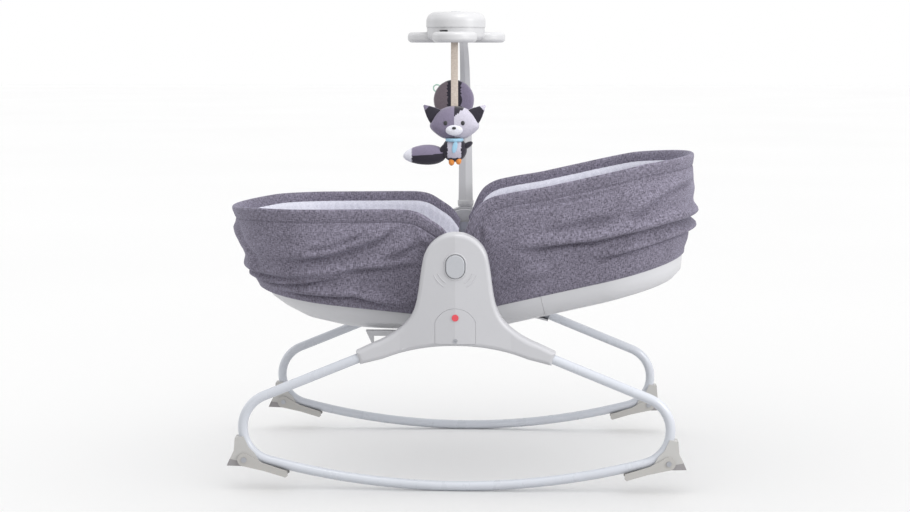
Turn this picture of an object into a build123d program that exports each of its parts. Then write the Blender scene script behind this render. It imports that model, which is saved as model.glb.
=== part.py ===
from build123d import *
import os
from math import cos, sin, tan, radians, sqrt

# Infant rocker and napper seat.  Millimetres, +Z up, floor at Z = 0.
# X runs along the seat, foot end at -X and head end at +X; the recline axis is X = 0.
# Y runs across; the baby's left side is -Y and the right side is +Y.

# ---- driving dimensions -------------------------------------------------------------
PIVOT_Z = 373.0            # height of the recline axis
RECLINE_REST = 13.0        # backrest angle above flat, as stored
FOOT_SLOPE = 6.0           # foot rest angle above flat
SEAT_END = 401.65           # foot rim to the recline axis
BACK_END = 431.2           # head rim to the recline axis, measured flat
RIM_Z = 457.0              # top of the foot rim
RIM_HALF = 182.0           # half width of the fabric rim
LIP_HALF = 174.0           # half width of the base shells at their lip
LIP_DROP = 92.0            # base shell lip below the recline axis
BASE_DROP = 124.0          # base shell bottom below the recline axis

TRACK = 230.0              # rocker tube centre to the middle of the seat
TUBE_R = 8.0
TUBE_WALL = 1.5
RUNNER_R = 1200.0          # radius of the runner's centre line
LOOP_END = 350.0           # rocker loop half length, centre line
ARM_SLOPE = 22.3           # slope of the upper run of the loop
UPPER_BEND = 57.0
LOWER_BEND = 56.0
ARM_END = 160.0            # where the tube leaves the side cover
ARM_END_Z = 219.5

HUB_R = 53.5               # round top of the side cover
PLATE_IN = 188.5           # steel plate that carries the backrest
PLATE_OUT = 192.5
HINGE_SEAM = 121.0         # end of the hinge cover, measured flat
NOSE = 0.88                # length of a rounded seat end over its half width
TUB_WALL = 6.0             # fabric, wadding and lining together
WIRE_R = 2.5
COVER_IN = 216.0
COVER_OUT = 249.0          # crest of the side cover, from the middle of the seat
CREST_FALL = 8.0           # the cover's front falls this much from its crest
CREST_HALF = 90.0          # to this far either side
COVER_EDGE_R = 7.0
LINER_IN = 198.0
WALL = 3.0

BUTTON = (30.0, 38.0)      # width and height of the recline release
ARCH = (33.0, 247.0, 305.0)     # access panel: half width, foot and top
ARCH_DEPTH = 2.5
PANEL_PROUD = 0.4
COVER_SCREW_Z = 252.0
AXLE_R = 10.0
CROSS_BAR_X = (-64.0, -38.0)
CROSS_BAR_Z = 262.0
CROSS_BAR_R = 6.0
DRUM_R = 107.0             # fixed cover under the hinge
DRUM_HALF = 146.0
FOOT_EDGE = -14.0          # where the foot half stops, degrees from straight down
BACK_EDGE = -12.5          # the same for the back half, laid flat

STAND_X = 347.0            # lock lever pivot
STAND_Z = 51.4

PIN_R = 2.5
CLAMP_HALF = 10.8          # half width of the clamps and their toes

STALK_Y = 232.0            # toy bar, in the top of the right housing
SPIGOT_R = 8.0
MOBILE_X = -9.0            # middle of the mobile
MOBILE_SEAM_Z = 757.0
PETAL_ANGLES = (-90, 30, 150)
TOY_Y = -57.0              # the fox, under the front petal
BACK_TOY_Y = 12.0          # the round toy behind it
VIB_X = -150.0             # middle of the vibration unit
PAD_TOP = PIVOT_Z - 71.7   # where the harness lies on the foot pad, drawn level
FIT = 0.05                 # radial clearance of a running fit

os.makedirs("parts", exist_ok=True)
PIVOT_AXIS = Axis((0, 0, PIVOT_Z), (0, 1, 0))
SIDES = {"left": -1, "right": 1}


def write(name, shape):
    """Save one named piece."""
    export_step(shape, os.path.join("parts", name + ".step"))


def group(solids):
    """Several separate solids kept as one node."""
    return Compound(children=list(solids))


def box(x0, x1, y0, y1, z0, z1):
    """A block from its lowest and highest corners."""
    middle = ((x0 + x1) / 2, (y0 + y1) / 2, (z0 + z1) / 2)
    return Pos(*middle) * Box(abs(x1 - x0), abs(y1 - y0), abs(z1 - z0))


def rod_y(x, z, y0, y1, radius):
    """A round bar along Y."""
    return Pos(x, (y0 + y1) / 2, z) * Rot(90, 0, 0) * Cylinder(radius, abs(y1 - y0))


def rod_z(x, y, z0, z1, radius):
    """A round bar along Z."""
    return Pos(x, y, (z0 + z1) / 2) * Cylinder(radius, abs(z1 - z0))


def slab(outline, y0, y1):
    """An outline drawn in X and Z, made solid from y0 to y1."""
    face = Plane(origin=(0, min(y0, y1), 0), x_dir=(1, 0, 0), z_dir=(0, -1, 0)) * outline
    return extrude(face, amount=abs(y1 - y0), dir=(0, 1, 0))


def tilt(shape, angle):
    """Turn a piece about the recline axis, head end up for a positive angle."""
    return shape.rotate(PIVOT_AXIS, -angle)


def mirror_y(shape):
    return mirror(shape, about=Plane.XZ)


def on_side(shape, sign):
    """Pieces are drawn on the left, at -Y, and mirrored for the right."""
    return shape if sign < 0 else mirror_y(shape)


# ---- rocker loops ---------------------------------------------------------------------
def loop_path():
    """Centre line of one loop at Y = 0: arm, upper bend, lower bend, runner and back."""
    slope = radians(ARM_SLOPE)
    corner_z = ARM_END_Z - (LOOP_END - ARM_END) * tan(slope)
    tangent = UPPER_BEND * tan(radians(90 - ARM_SLOPE) / 2)
    bend_top = (LOOP_END - tangent * cos(slope), corner_z + tangent * sin(slope))
    bend_low = (LOOP_END, corner_z - tangent)
    runner_c = TUBE_R + RUNNER_R
    low_cx = LOOP_END - LOWER_BEND
    low_cz = runner_c - sqrt((RUNNER_R - LOWER_BEND) ** 2 - low_cx ** 2)
    reach = RUNNER_R / (RUNNER_R - LOWER_BEND)
    meet = (low_cx * reach, runner_c - (runner_c - low_cz) * reach)
    start = (ARM_END - 40 * cos(slope), ARM_END_Z + 40 * sin(slope))

    def up(x, z):
        return (x, 0, z)

    mid_up = arc_middle((LOOP_END - UPPER_BEND, bend_low[1]), bend_top, bend_low)
    mid_low = arc_middle((low_cx, low_cz), (LOOP_END, low_cz), meet)
    right = [
        Line(up(*start), up(*bend_top)),
        ThreePointArc(up(*bend_top), up(*mid_up), up(*bend_low)),
        Line(up(*bend_low), up(LOOP_END, low_cz)),
        ThreePointArc(up(LOOP_END, low_cz), up(*mid_low), up(*meet)),
    ]
    runner = ThreePointArc(up(*meet), up(0, TUBE_R), up(-meet[0], meet[1]))
    left = [edge.mirror(Plane.YZ) for edge in reversed(right)]
    return Wire(right + [runner] + left), up(*start)


def arc_middle(centre, first, last):
    """The point half way round an arc, from its centre and two ends."""
    dx = (first[0] + last[0]) / 2 - centre[0]
    dz = (first[1] + last[1]) / 2 - centre[1]
    radius = sqrt((first[0] - centre[0]) ** 2 + (first[1] - centre[1]) ** 2)
    length = sqrt(dx * dx + dz * dz)
    return (centre[0] + dx * radius / length, centre[1] + dz * radius / length)


def rocker_tube(radius, hollow):
    path, start = loop_path()
    slope = radians(ARM_SLOPE)
    mouth = Plane(origin=start, z_dir=(cos(slope), 0, -sin(slope)))
    ring = mouth * Circle(radius)
    if hollow:
        ring = ring - mouth * Circle(radius - TUBE_WALL)
    return Pos(0, -TRACK, 0) * sweep(ring, path=path)


# ---- side housings --------------------------------------------------------------------
def cover_outline(inset):
    """Side cover seen from the side: round hub, flared skirt and two arms."""
    hub = HUB_R - inset
    waist = (60.0 - inset, PIVOT_Z - 40)
    skirt = (73.0 - inset, 290.0)
    elbow = (96.0 - inset * 0.7, 266.0 - inset * 0.7)
    arm_top = (134.0, 245.0 - inset)
    end_top = (ARM_END + 2.5, 231.5 - inset)
    end_low = (ARM_END - 4.5, 210.5 + inset)
    arm_low = (118.0, 220.0 + inset)
    crown = (0, PIVOT_Z + hub)
    shoulder = (hub * cos(radians(8)), PIVOT_Z + hub * sin(radians(8)))
    half = [
        ThreePointArc(crown, (hub * sin(radians(41)), PIVOT_Z + hub * cos(radians(41))), shoulder),
        Spline(shoulder, waist, skirt, elbow, arm_top),
        Line(arm_top, end_top),
        Line(end_top, end_low),
        Line(end_low, arm_low),
        ThreePointArc(arm_low, (60, 237.0 + inset), (0, 243.0 + inset)),
    ]
    other = [edge.mirror(Plane.YZ) for edge in half]
    return make_face(Wire(half + list(reversed(other))).edges())


def crested(out):
    """All that lies behind the cover's two slightly sloping front planes."""
    edge = CREST_FALL - out
    front = [(-200, edge), (-CREST_HALF, edge), (0, -out), (CREST_HALF, edge), (200, edge)]
    back = [(200, -COVER_IN), (-200, -COVER_IN)]
    plan = Plane.XY.offset(150) * make_face(Polyline(*front, *back, close=True).edges())
    return extrude(plan, amount=350, dir=(0, 0, 1))


def front_rim(body):
    """Edges round the outside of the front planes, without the lines between them."""
    fronts = [face for face in body.faces() if face.normal_at().Y < -0.8]
    edges = [edge for face in fronts for edge in face.edges()]
    middles = [edge.center() for edge in edges]
    shared = [sum((m - other).length < 0.01 for other in middles) for m in middles]
    return [edge for edge, count in zip(edges, shared) if count == 1]


def oval(width, height, z):
    """Stadium shape standing on its end."""
    return Pos(0, z) * Rot(0, 0, 90) * SlotOverall(height, width)


def arch(half_width, low, top):
    spring = top - half_width * 0.7
    edges = [
        Line((-half_width, low), (half_width, low)),
        Line((half_width, low), (half_width, spring)),
        ThreePointArc((half_width, spring), (0, top), (-half_width, spring)),
        Line((-half_width, spring), (-half_width, low)),
    ]
    return make_face(Wire(edges).edges())


def side_cover():
    body = slab(cover_outline(0), -COVER_OUT - 1, -COVER_IN) & crested(COVER_OUT)
    body = fillet(front_rim(body), COVER_EDGE_R)
    hollow = slab(cover_outline(WALL), -COVER_OUT, -COVER_IN + 1)
    body = body - (hollow & crested(COVER_OUT - WALL - 2))
    hole = oval(BUTTON[0] + 1.2, BUTTON[1] + 1.2, PIVOT_Z)
    body = body - slab(hole, -COVER_OUT - 1, -COVER_IN)
    pocket = slab(arch(*ARCH), -COVER_OUT - 1, -COVER_IN - 5)
    body = body - (pocket - crested(COVER_OUT - ARCH_DEPTH))
    body = body - rod_y(0, COVER_SCREW_Z, -COVER_OUT - 1, -COVER_IN, 1.6)
    return body - rocker_tube(TUBE_R + 0.02, hollow=False)


def side_liner():
    """Inner half of the housing: a shallow cup that carries the axle."""
    edges = [
        Line((-70, 248), (70, 248)),
        Line((70, 248), (50, PIVOT_Z)),
        ThreePointArc((50, PIVOT_Z), (0, PIVOT_Z + 50), (-50, PIVOT_Z)),
        Line((-50, PIVOT_Z), (-70, 248)),
    ]
    face = make_face(Wire(edges).edges())
    cup = slab(face, -COVER_IN, -LINER_IN)
    hollow = slab(offset(face, -WALL), -COVER_IN - 1, -LINER_IN - WALL)
    boss = rod_y(0, PIVOT_Z, -COVER_IN, -LINER_IN, 16)
    cup = cup - hollow + boss
    cup = cup - rod_y(0, PIVOT_Z, -COVER_IN - 1, -LINER_IN + 1, AXLE_R)
    for x in CROSS_BAR_X:
        cup = cup - rod_y(x, CROSS_BAR_Z, -COVER_IN - 1, -LINER_IN + 1, CROSS_BAR_R)
    return cup



def arch_panel():
    gap = 0.3
    half_width, low, top = ARCH
    outline = arch(half_width - gap, low + gap, top - gap)
    panel = slab(outline, -COVER_OUT - 2, -COVER_IN - 5) & crested(COVER_OUT + PANEL_PROUD)
    panel = panel - crested(COVER_OUT - ARCH_DEPTH)
    return panel - rod_y(0, COVER_SCREW_Z, -COVER_OUT - 1, -COVER_IN, 3.6)


def badge():
    return rod_y(0, 290, -COVER_OUT - 1.2, -COVER_OUT - 0.2, 5.5) - crested(COVER_OUT + PANEL_PROUD)


def screw(x, y, z, head_r, length, inward):
    """Pan head on the outside at y, shank going the way that inward says."""
    head = rod_y(x, z, y, y + inward * 2.2, head_r)
    shank = rod_y(x, z, y + inward * 2.2, y + inward * length, head_r / 2.3)
    cross = box(x - head_r * 0.6, x + head_r * 0.6, y - 1, y + 1, z - 0.5, z + 0.5)
    return head + shank - cross - cross.rotate(Axis((x, y, z), (0, 1, 0)), 90)


def hub_button():
    """Oval release button with a guide stem; its flange sits behind the cover."""
    front = -COVER_OUT - 2.0
    back = -COVER_OUT + 7.5
    cap = slab(oval(*BUTTON, PIVOT_Z), front, back)
    cap = fillet(cap.faces().sort_by(Axis.Y)[0].edges(), 1.5)
    flange = slab(oval(BUTTON[0] + 5, BUTTON[1] + 5, PIVOT_Z), back, back + 2)
    stem = rod_y(0, PIVOT_Z, back + 2, -COVER_IN - 10, 4)
    return cap + flange + stem


def button_spring():
    """Return spring, drawn at its pressed length on the axle's end."""
    outer = rod_y(0, PIVOT_Z, -COVER_IN - 12, -COVER_IN - 2, 8)
    return outer - rod_y(0, PIVOT_Z, -COVER_IN - 13, -COVER_IN, 6.5)


def hub_axle():
    """Steel axle: fixed in the liner, with a head inside the seat plate."""
    shaft = rod_y(0, PIVOT_Z, -COVER_IN - 2, -PLATE_IN, AXLE_R - 0.02)
    head = rod_y(0, PIVOT_Z, -PLATE_IN, -PLATE_IN + 3.5, AXLE_R + 4)
    recess = rod_y(0, PIVOT_Z, -COVER_IN - 3, -COVER_IN + 8, 5)
    return shaft + head - recess


# ---- seat halves ----------------------------------------------------------------------
def plan_face(hub_x, tip, half_width, z):
    """Plan of a seat half: square at the hub, half an ellipse at the tip."""
    way = 1 if tip > 0 else -1
    reach = half_width * NOSE
    start = tip - way * reach
    nose = EllipticalCenterArc((start, 0, z), reach, half_width, -90, arc_size=way * 180)
    edges = [
        Line((hub_x, -half_width, z), (start, -half_width, z)),
        nose,
        Line((start, half_width, z), (hub_x, half_width, z)),
        Line((hub_x, half_width, z), (hub_x, -half_width, z)),
    ]
    return make_face(Wire(edges).edges())


def hull(levels, hub_x, inset):
    """Loft through plan outlines; each level is tip, half width and height."""
    faces = []
    for tip, half_width, z in levels:
        way = 1 if tip > 0 else -1
        faces.append(plan_face(hub_x, tip - way * inset, half_width - inset, z))
    return loft(faces, ruled=True)


def wedge(first, last):
    """Sector about the recline axis between two angles, degrees from straight down."""
    reach = 700.0
    count = 6
    points = [(0, PIVOT_Z)]
    for step in range(count + 1):
        angle = radians(first + (last - first) * step / count)
        points.append((reach * sin(angle), PIVOT_Z - reach * cos(angle)))
    return slab(make_face(Polyline(*points, close=True).edges()), -260, 260)


FOOT_LEVELS = [
    (-352.0, 178.0, PIVOT_Z - 40),
    (-343.0, 174.0, PIVOT_Z - 60),
    (-330.0, 170.0, PIVOT_Z - 76),
    (-308.0, 163.0, PIVOT_Z - 92),
    (-278.0, 152.0, PIVOT_Z - 108),
    (-236.0, 134.0, PIVOT_Z - 119),
    (-196.0, 112.0, PIVOT_Z - BASE_DROP),
]
BACK_LEVELS = [
    (376.0, 176.0, PIVOT_Z - 80),
    (374.0, LIP_HALF, PIVOT_Z - 87),
    (371.0, 170.0, PIVOT_Z - 100),
    (366.0, 161.0, PIVOT_Z - 114),
    (352.0, 146.0, PIVOT_Z - 124),
    (318.0, 122.0, PIVOT_Z - 129),
]


def lowered(levels, drop):
    return [(tip, half_width, z - drop) for tip, half_width, z in levels]


def shell_of(levels, hub_x):
    """Open moulded shell: the hull less the same hull raised and drawn in."""
    inner = hull(lowered(levels, -WALL), hub_x - (1 if levels[0][0] > 0 else -1) * 5, WALL)
    return hull(levels, hub_x, 0) - inner


def below_lip(slope, drop, far):
    """Everything under the lip of a base shell."""
    block = box(-far, far, -260, 260, PIVOT_Z - 400, PIVOT_Z - drop)
    return tilt(block, -slope)


def foot_base_shell():
    shell = shell_of(FOOT_LEVELS, -10)
    shell = shell & below_lip(FOOT_SLOPE, LIP_DROP + 2, 500) & wedge(-110, FOOT_EDGE)
    for x in CROSS_BAR_X:
        for sign in (-1, 1):
            shell = shell + rod_y(x, CROSS_BAR_Z, sign * 140, sign * LINER_IN, CROSS_BAR_R + WALL)
        shell = shell - rod_y(x, CROSS_BAR_Z, -210, 210, CROSS_BAR_R)
    return shell - box(VIB_X - 50, VIB_X + 50, -40, 40, 240, 260)


def back_shell_half(x0, x1):
    shell = shell_of(BACK_LEVELS, -40)
    keep = wedge(BACK_EDGE, 120) & box(x0, x1, -260, 260, 200, 600)
    return shell & below_lip(0, LIP_DROP - 6, 500) & keep


def back_hinge_cover():
    cover = back_shell_half(-60, HINGE_SEAM)
    for sign in (-1, 1):
        pad = box(22, 46, sign * 165, sign * PLATE_IN, PIVOT_Z - 102, PIVOT_Z - 90)
        cover = cover + pad
    return tilt(cover, RECLINE_REST)


def back_base_shell():
    return tilt(back_shell_half(HINGE_SEAM + 0.4, 420), RECLINE_REST)


def back_plate():
    """Steel plate that turns on the axle and carries the backrest."""
    disc = rod_y(0, PIVOT_Z, -PLATE_OUT, -PLATE_IN, 28)
    arm_points = [(-14, -22), (22, -10), (48, -88), (48, -104), (18, -104)]
    face = make_face(Polyline(*[(x, PIVOT_Z + z) for x, z in arm_points], close=True).edges())
    plate = disc + slab(face, -PLATE_OUT, -PLATE_IN)
    plate = plate - rod_y(0, PIVOT_Z, -260, 0, AXLE_R + FIT)
    return tilt(plate, RECLINE_REST)


def seat_layer(levels, hub_x, inset, low, high, slope, first, last):
    """A flat layer inside a shell, such as the board or the pad."""
    tip, half_width = levels
    way = 1 if tip > 0 else -1
    low_face = plan_face(hub_x, tip - way * inset, half_width - inset, PIVOT_Z - low)
    layer = extrude(low_face, amount=low - high, dir=(0, 0, 1))
    return tilt(layer, slope) & wedge(first, last)


def foot_seat_board():
    return seat_layer((-330, 168), 20, 15, 98, 94, -FOOT_SLOPE, -110, FOOT_EDGE)


def foot_pad():
    pad = seat_layer((-330, 168), 20, 12, 93.6, 72, -FOOT_SLOPE, -110, FOOT_EDGE - 1)
    return pad


def back_seat_board():
    board = seat_layer((368, 168), -40, 8, 90, 86, 0, BACK_EDGE, 120)
    return tilt(board, RECLINE_REST)


def back_pad():
    pad = seat_layer((368, 168), -40, 11, 85.6, 62, 0, BACK_EDGE + 1, 120)
    return tilt(pad, RECLINE_REST)


def head_cushion():
    """Crescent cushion round the baby's head, lying on the back pad."""
    outer = Pos(0, 0) * Ellipse(105, 118)
    inner = Pos(-34, 0) * Ellipse(86, 78)
    crescent = (outer - inner) & Pos(40, 0) * Rectangle(180, 240)
    solid = extrude(Pos(225, 0, PIVOT_Z - 61.6) * crescent, amount=34)
    return tilt(solid, RECLINE_REST)


def tub_wall(lip, rim, hub_x, low, high):
    """Fabric wall of a seat half, lip and rim given as tip and half width."""
    outer = loft([plan_face(hub_x, *lip, PIVOT_Z + low), plan_face(hub_x, *rim, PIVOT_Z + high)])
    way = 1 if lip[0] > 0 else -1
    slim_lip = (lip[0] - way * TUB_WALL, lip[1] - TUB_WALL)
    slim_rim = (rim[0] - way * TUB_WALL, rim[1] - TUB_WALL)
    past = hub_x - way * 10
    inner = loft([plan_face(past, *slim_lip, PIVOT_Z + low), plan_face(past, *slim_rim, PIVOT_Z + high)])
    return outer - inner


def side_profile(points):
    """What the wall keeps, seen from the side, given from the recline axis."""
    lifted = [(x, PIVOT_Z + z) for x, z in points]
    return slab(make_face(Polyline(*lifted, close=True).edges()), -260, 260)


def foot_fabric():
    wall = tub_wall((-345, 176), (-SEAT_END, RIM_HALF), 0, -95, RIM_Z - PIVOT_Z)
    rim = RIM_Z - PIVOT_Z
    lip = [(-22, -91), (-420, -49)]
    top = [(-420, rim - 7), (-340, rim - 1), (-100, rim)]
    top += [(-62, rim - 3), (-40, rim - 18), (-18, 38), (-8, 26)]
    wall = wall & side_profile(lip + top + [(-8, -20)])
    return wall - rod_y(0, PIVOT_Z, -260, 260, 26)


def back_fabric():
    wall = tub_wall((378, 176), (BACK_END, RIM_HALF), -30, -87, 86)
    lip = [(-16, -85), (440, -85)]
    top = [(440, 75), (340, 85), (120, 90), (80, 90)]
    top += [(54, 81), (42, 68), (26, 44), (16, 30)]
    wall = wall & side_profile(lip + top + [(-4, -20)])
    wall = wall - rod_y(0, PIVOT_Z, -260, 260, 26)
    return tilt(wall, RECLINE_REST)


def rim_wire(points, tip, half_width):
    """Steel wire inside the hem, from the hub round the tip and back."""
    way = 1 if tip > 0 else -1
    reach = half_width * NOSE
    start = tip - way * reach
    z = points[-1][1]
    near = [(x, -half_width, PIVOT_Z + height) for x, height in points]
    near.append((start, -half_width, PIVOT_Z + z))
    far = [(x, -y, height) for x, y, height in reversed(near)]
    nose = EllipticalCenterArc((start, 0, PIVOT_Z + z), reach, half_width, -90, arc_size=way * 180)
    path = Wire([*Polyline(*near).edges(), nose, *Polyline(*far).edges()])
    first = Vector(*near[0])
    plane = Plane(origin=first, z_dir=Vector(*near[1]) - first)
    return sweep(plane * Circle(WIRE_R), path=path, transition=Transition.ROUND)


def foot_rim_wire():
    rim = RIM_Z - PIVOT_Z - 9
    points = [(-26, 34), (-64, rim)]
    return rim_wire(points, -SEAT_END + 6.5, RIM_HALF - 3.5)


def back_rim_wire():
    points = [(34, 40), (64, 74)]
    return tilt(rim_wire(points, BACK_END - 6.5, RIM_HALF - 3.5), RECLINE_REST)


def centre_drum():
    """Fixed curved cover that closes the gap under the hinge."""
    outer = rod_y(0, PIVOT_Z, -DRUM_HALF, DRUM_HALF, DRUM_R)
    ring = outer - rod_y(0, PIVOT_Z, -DRUM_HALF - 2, DRUM_HALF + 2, DRUM_R - 2.5)
    return ring & wedge(-17, 27)


def cross_bars():
    bars = []
    for x in CROSS_BAR_X:
        bars.append(rod_y(x, CROSS_BAR_Z, -COVER_IN, COVER_IN, CROSS_BAR_R))
    return group(bars)


def carry_bracket():
    """Moulded bracket under the foot half with a finger slot."""
    edges = [
        Line((-154, 252), (-142, 226)),
        Line((-142, 226), (-104, 228)),
        Line((-104, 228), (-78, 236)),
        Line((-78, 236), (-78, 252)),
        Line((-78, 252), (-154, 252)),
    ]
    plate = slab(make_face(Wire(edges).edges()), -150, -138)
    slot = box(-141, -104, -160, -130, 231, 243)
    return plate - slot


# ---- vibration unit -------------------------------------------------------------------
def vibration_housing():
    case = box(VIB_X - 50, VIB_X + 50, -40, 40, 251, 282)
    hollow = box(VIB_X - 48, VIB_X + 48, -38, 38, 245, 280)
    return case - hollow


def battery_door():
    door = box(VIB_X - 47.5, VIB_X + 47.5, -37.5, 37.5, 250.5, 253)
    return door - rod_z(VIB_X + 42, 0, 250, 254, 2)


def batteries():
    cells = []
    for y in (-28, -10):
        cells.append(Pos(VIB_X, y, 262) * Rot(0, 90, 0) * Cylinder(7.2, 50))
    return group(cells)


def vibration_motor():
    can = Pos(VIB_X, 18, 266) * Rot(0, 90, 0) * Cylinder(10, 26)
    shaft = Pos(VIB_X + 18, 18, 266) * Rot(0, 90, 0) * Cylinder(1.2, 12)
    return can + shaft


def eccentric_weight():
    wheel = Pos(VIB_X + 20, 18, 266) * Rot(0, 90, 0) * Cylinder(8, 6)
    half = wheel & box(VIB_X, VIB_X + 40, 0, 40, 264, 280)
    hub = Pos(VIB_X + 20, 18, 266) * Rot(0, 90, 0) * Cylinder(3, 6)
    return half + hub - Pos(VIB_X + 20, 18, 266) * Rot(0, 90, 0) * Cylinder(1.2 + FIT, 8)


# ---- harness --------------------------------------------------------------------------
def on_foot_pad(shape):
    """Place a piece drawn on a level pad onto the sloping foot pad."""
    return tilt(shape, -FOOT_SLOPE)


def crotch_strap():
    return on_foot_pad(box(-160, -105.2, -15, 15, PAD_TOP, PAD_TOP + 1.6))


def waist_strap(sign):
    run = box(-90, -66, sign * 25.2, sign * 157, PAD_TOP, PAD_TOP + 1.6)
    return on_foot_pad(run)


def buckle_body():
    body = box(-105, -55, -21, 21, PAD_TOP, PAD_TOP + 14)
    body = fillet(body.edges().filter_by(Axis.Z), 6)
    body = body - box(-92, -68, -14, 14, PAD_TOP + 8, PAD_TOP + 20)
    return on_foot_pad(body)


def buckle_button():
    cap = box(-91.7, -68.3, -13.7, 13.7, PAD_TOP + 11, PAD_TOP + 15.5)
    return on_foot_pad(cap)


def buckle_tongues():
    tongues = []
    for sign in (-1, 1):
        tongues.append(on_foot_pad(box(-92, -64, sign * 21, sign * 25.2, PAD_TOP + 1, PAD_TOP + 9)))
    return group(tongues)


# ---- rocker feet ----------------------------------------------------------------------
def ring_profile(points, y_half):
    return slab(make_face(Polyline(*points, close=True).edges()), -TRACK - y_half, -TRACK + y_half)


def head_end(shape):
    return mirror(shape, about=Plane.YZ)


def foot_bracket():
    """Clamp moulded round the lower bend of the loop."""
    outside = [(-362, 88), (-364, 66), (-371, 52), (-349, 47.5), (-345, 40.5)]
    inside = [(-331, 40.5), (-322, 47), (-330, 62), (-340, 72), (-348, 90)]
    block = ring_profile(outside + inside, CLAMP_HALF)
    block = block - rocker_tube(TUBE_R + 0.02, hollow=False)
    return block - rod_y(-STAND_X, STAND_Z, -TRACK - 20, -TRACK + 20, PIN_R)


def rubber_toe():
    points = [(-371.2, 51.8), (-376, 41), (-346, 40.2), (-349.2, 47.3)]
    return ring_profile(points, CLAMP_HALF)


def lock_lever():
    """Channel shaped lever, two cheeks and a web under the rocker tube."""
    boss = slab(Pos(-STAND_X, STAND_Z) * Circle(11.0), -TRACK - 13.6, -TRACK + 13.6)
    points = [(-344, 62), (-316, 46), (-276, 33), (-275.5, 25), (-279, 22.5), (-314, 33), (-350, 41)]
    arm = ring_profile(points, 13.6)
    channel = box(-400, -270, -TRACK - 11.2, -TRACK + 11.2, 0, 100)
    web_points = [(-322, 38.5), (-277, 25), (-279, 22.5), (-314, 33), (-322, 35)]
    web = ring_profile(web_points, 13.6)
    lever = (boss + arm) - channel + web
    return lever - rod_y(-STAND_X, STAND_Z, -TRACK - 20, -TRACK + 20, PIN_R + FIT)


def lever_pin():
    pin = rod_y(-STAND_X, STAND_Z, -TRACK - 13.8, -TRACK + 13.8, PIN_R)
    head = rod_y(-STAND_X, STAND_Z, -TRACK - 15.4, -TRACK - 13.8, 4.2)
    nut = rod_y(-STAND_X, STAND_Z, -TRACK + 13.8, -TRACK + 15.4, 4.2)
    return pin + head + nut


def four_corners(piece):
    """One piece for each corner, in the order of the corner names."""
    near = piece
    return {
        "foot_left": near,
        "foot_right": mirror_y(near),
        "head_left": head_end(near),
        "head_right": head_end(mirror_y(near)),
    }


# ---- toy bar and mobile ---------------------------------------------------------------
def stalk_section(y, z, lean, width, depth):
    """Flattened six sided section with a ridge down the front and back."""
    plane = Plane(origin=(0, y, z), x_dir=(1, 0, 0), z_dir=(0, -sin(radians(lean)), cos(radians(lean))))
    half = width / 2
    outline = [(-half, -depth / 4), (0, -depth / 2), (half, -depth / 4)]
    outline += [(half, depth / 4), (0, depth / 2), (-half, depth / 4)]
    return plane * make_face(Polyline(*outline, close=True).edges())


def toy_stalk():
    stations = [
        (STALK_Y, 437, 0, 27, 15),
        (STALK_Y, 500, 2, 25, 15),
        (STALK_Y - 5, 570, 7, 22, 14),
        (STALK_Y - 22, 640, 20, 19, 13),
        (STALK_Y - 58, 695, 43, 17, 12),
        (STALK_Y - 104, 727, 66, 15, 11),
        (STALK_Y - 150, 741, 80, 14, 10),
        (STALK_Y - 176, 744.5, 85, 14, 9),
    ]
    bar = loft([stalk_section(*station) for station in stations])
    foot = rod_z(0, STALK_Y, 430.4, 437.2, 15)
    spigot = rod_z(0, STALK_Y, 402, 430.6, SPIGOT_R)
    return bar + foot + spigot


def toy_bar_socket():
    """Fixed cup let into the top of the right housing."""
    cup = rod_z(0, STALK_Y, 398, 430, SPIGOT_R + 4)
    flange = rod_z(0, STALK_Y, 427, 430, 14.5)
    return cup + flange - rod_z(0, STALK_Y, 401, 432, SPIGOT_R + FIT)


def petal(angle):
    """One of the three lobes of the mobile, with a rounded edge."""
    x = MOBILE_X + 54 * cos(radians(angle))
    y = 54 * sin(radians(angle))
    lobe = Pos(x, y, MOBILE_SEAM_Z - 17) * Cylinder(38, 18)
    return fillet(lobe.edges(), 7)


def mobile_base():
    body = Pos(MOBILE_X, 0, MOBILE_SEAM_Z - 11) * Cylinder(50, 22)
    body = fillet(body.edges().sort_by(Axis.Z)[0], 8)
    for angle in PETAL_ANGLES:
        body = body + petal(angle)
    body = body - rod_z(MOBILE_X, 0, MOBILE_SEAM_Z - 16, MOBILE_SEAM_Z + 1, 44)
    slot_low = MOBILE_SEAM_Z - 30
    slot_half = 9.6
    x0, x1 = MOBILE_X - slot_half, MOBILE_X + slot_half
    body = body - box(x0, x1, TOY_Y - 1.4, TOY_Y + 1.4, slot_low, slot_low + 11.5)
    body = body - box(MOBILE_X - 26, MOBILE_X - 12, -60, -38, MOBILE_SEAM_Z - 9, MOBILE_SEAM_Z - 5)
    return body - toy_stalk()


def mobile_dome():
    dome = Pos(MOBILE_X, 0, MOBILE_SEAM_Z + 13.2) * Cylinder(51, 26)
    dome = fillet(dome.edges().sort_by(Axis.Z)[-1], 16)
    inner = rod_z(MOBILE_X, 0, MOBILE_SEAM_Z, MOBILE_SEAM_Z + 20, 34)
    skirt = rod_z(MOBILE_X, 0, MOBILE_SEAM_Z, MOBILE_SEAM_Z + 8, 48)
    hole = rod_z(MOBILE_X, 0, MOBILE_SEAM_Z, MOBILE_SEAM_Z + 40, 9.4)
    return dome - inner - skirt - hole


def mobile_button():
    cap = rod_z(MOBILE_X, 0, MOBILE_SEAM_Z + 21, MOBILE_SEAM_Z + 27.4, 9)
    cap = fillet(cap.edges().sort_by(Axis.Z)[-1], 1.2)
    flange = rod_z(MOBILE_X, 0, MOBILE_SEAM_Z + 16, MOBILE_SEAM_Z + 19, 12)
    neck = rod_z(MOBILE_X, 0, MOBILE_SEAM_Z + 18, MOBILE_SEAM_Z + 22, 6)
    return cap + flange + neck


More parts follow.
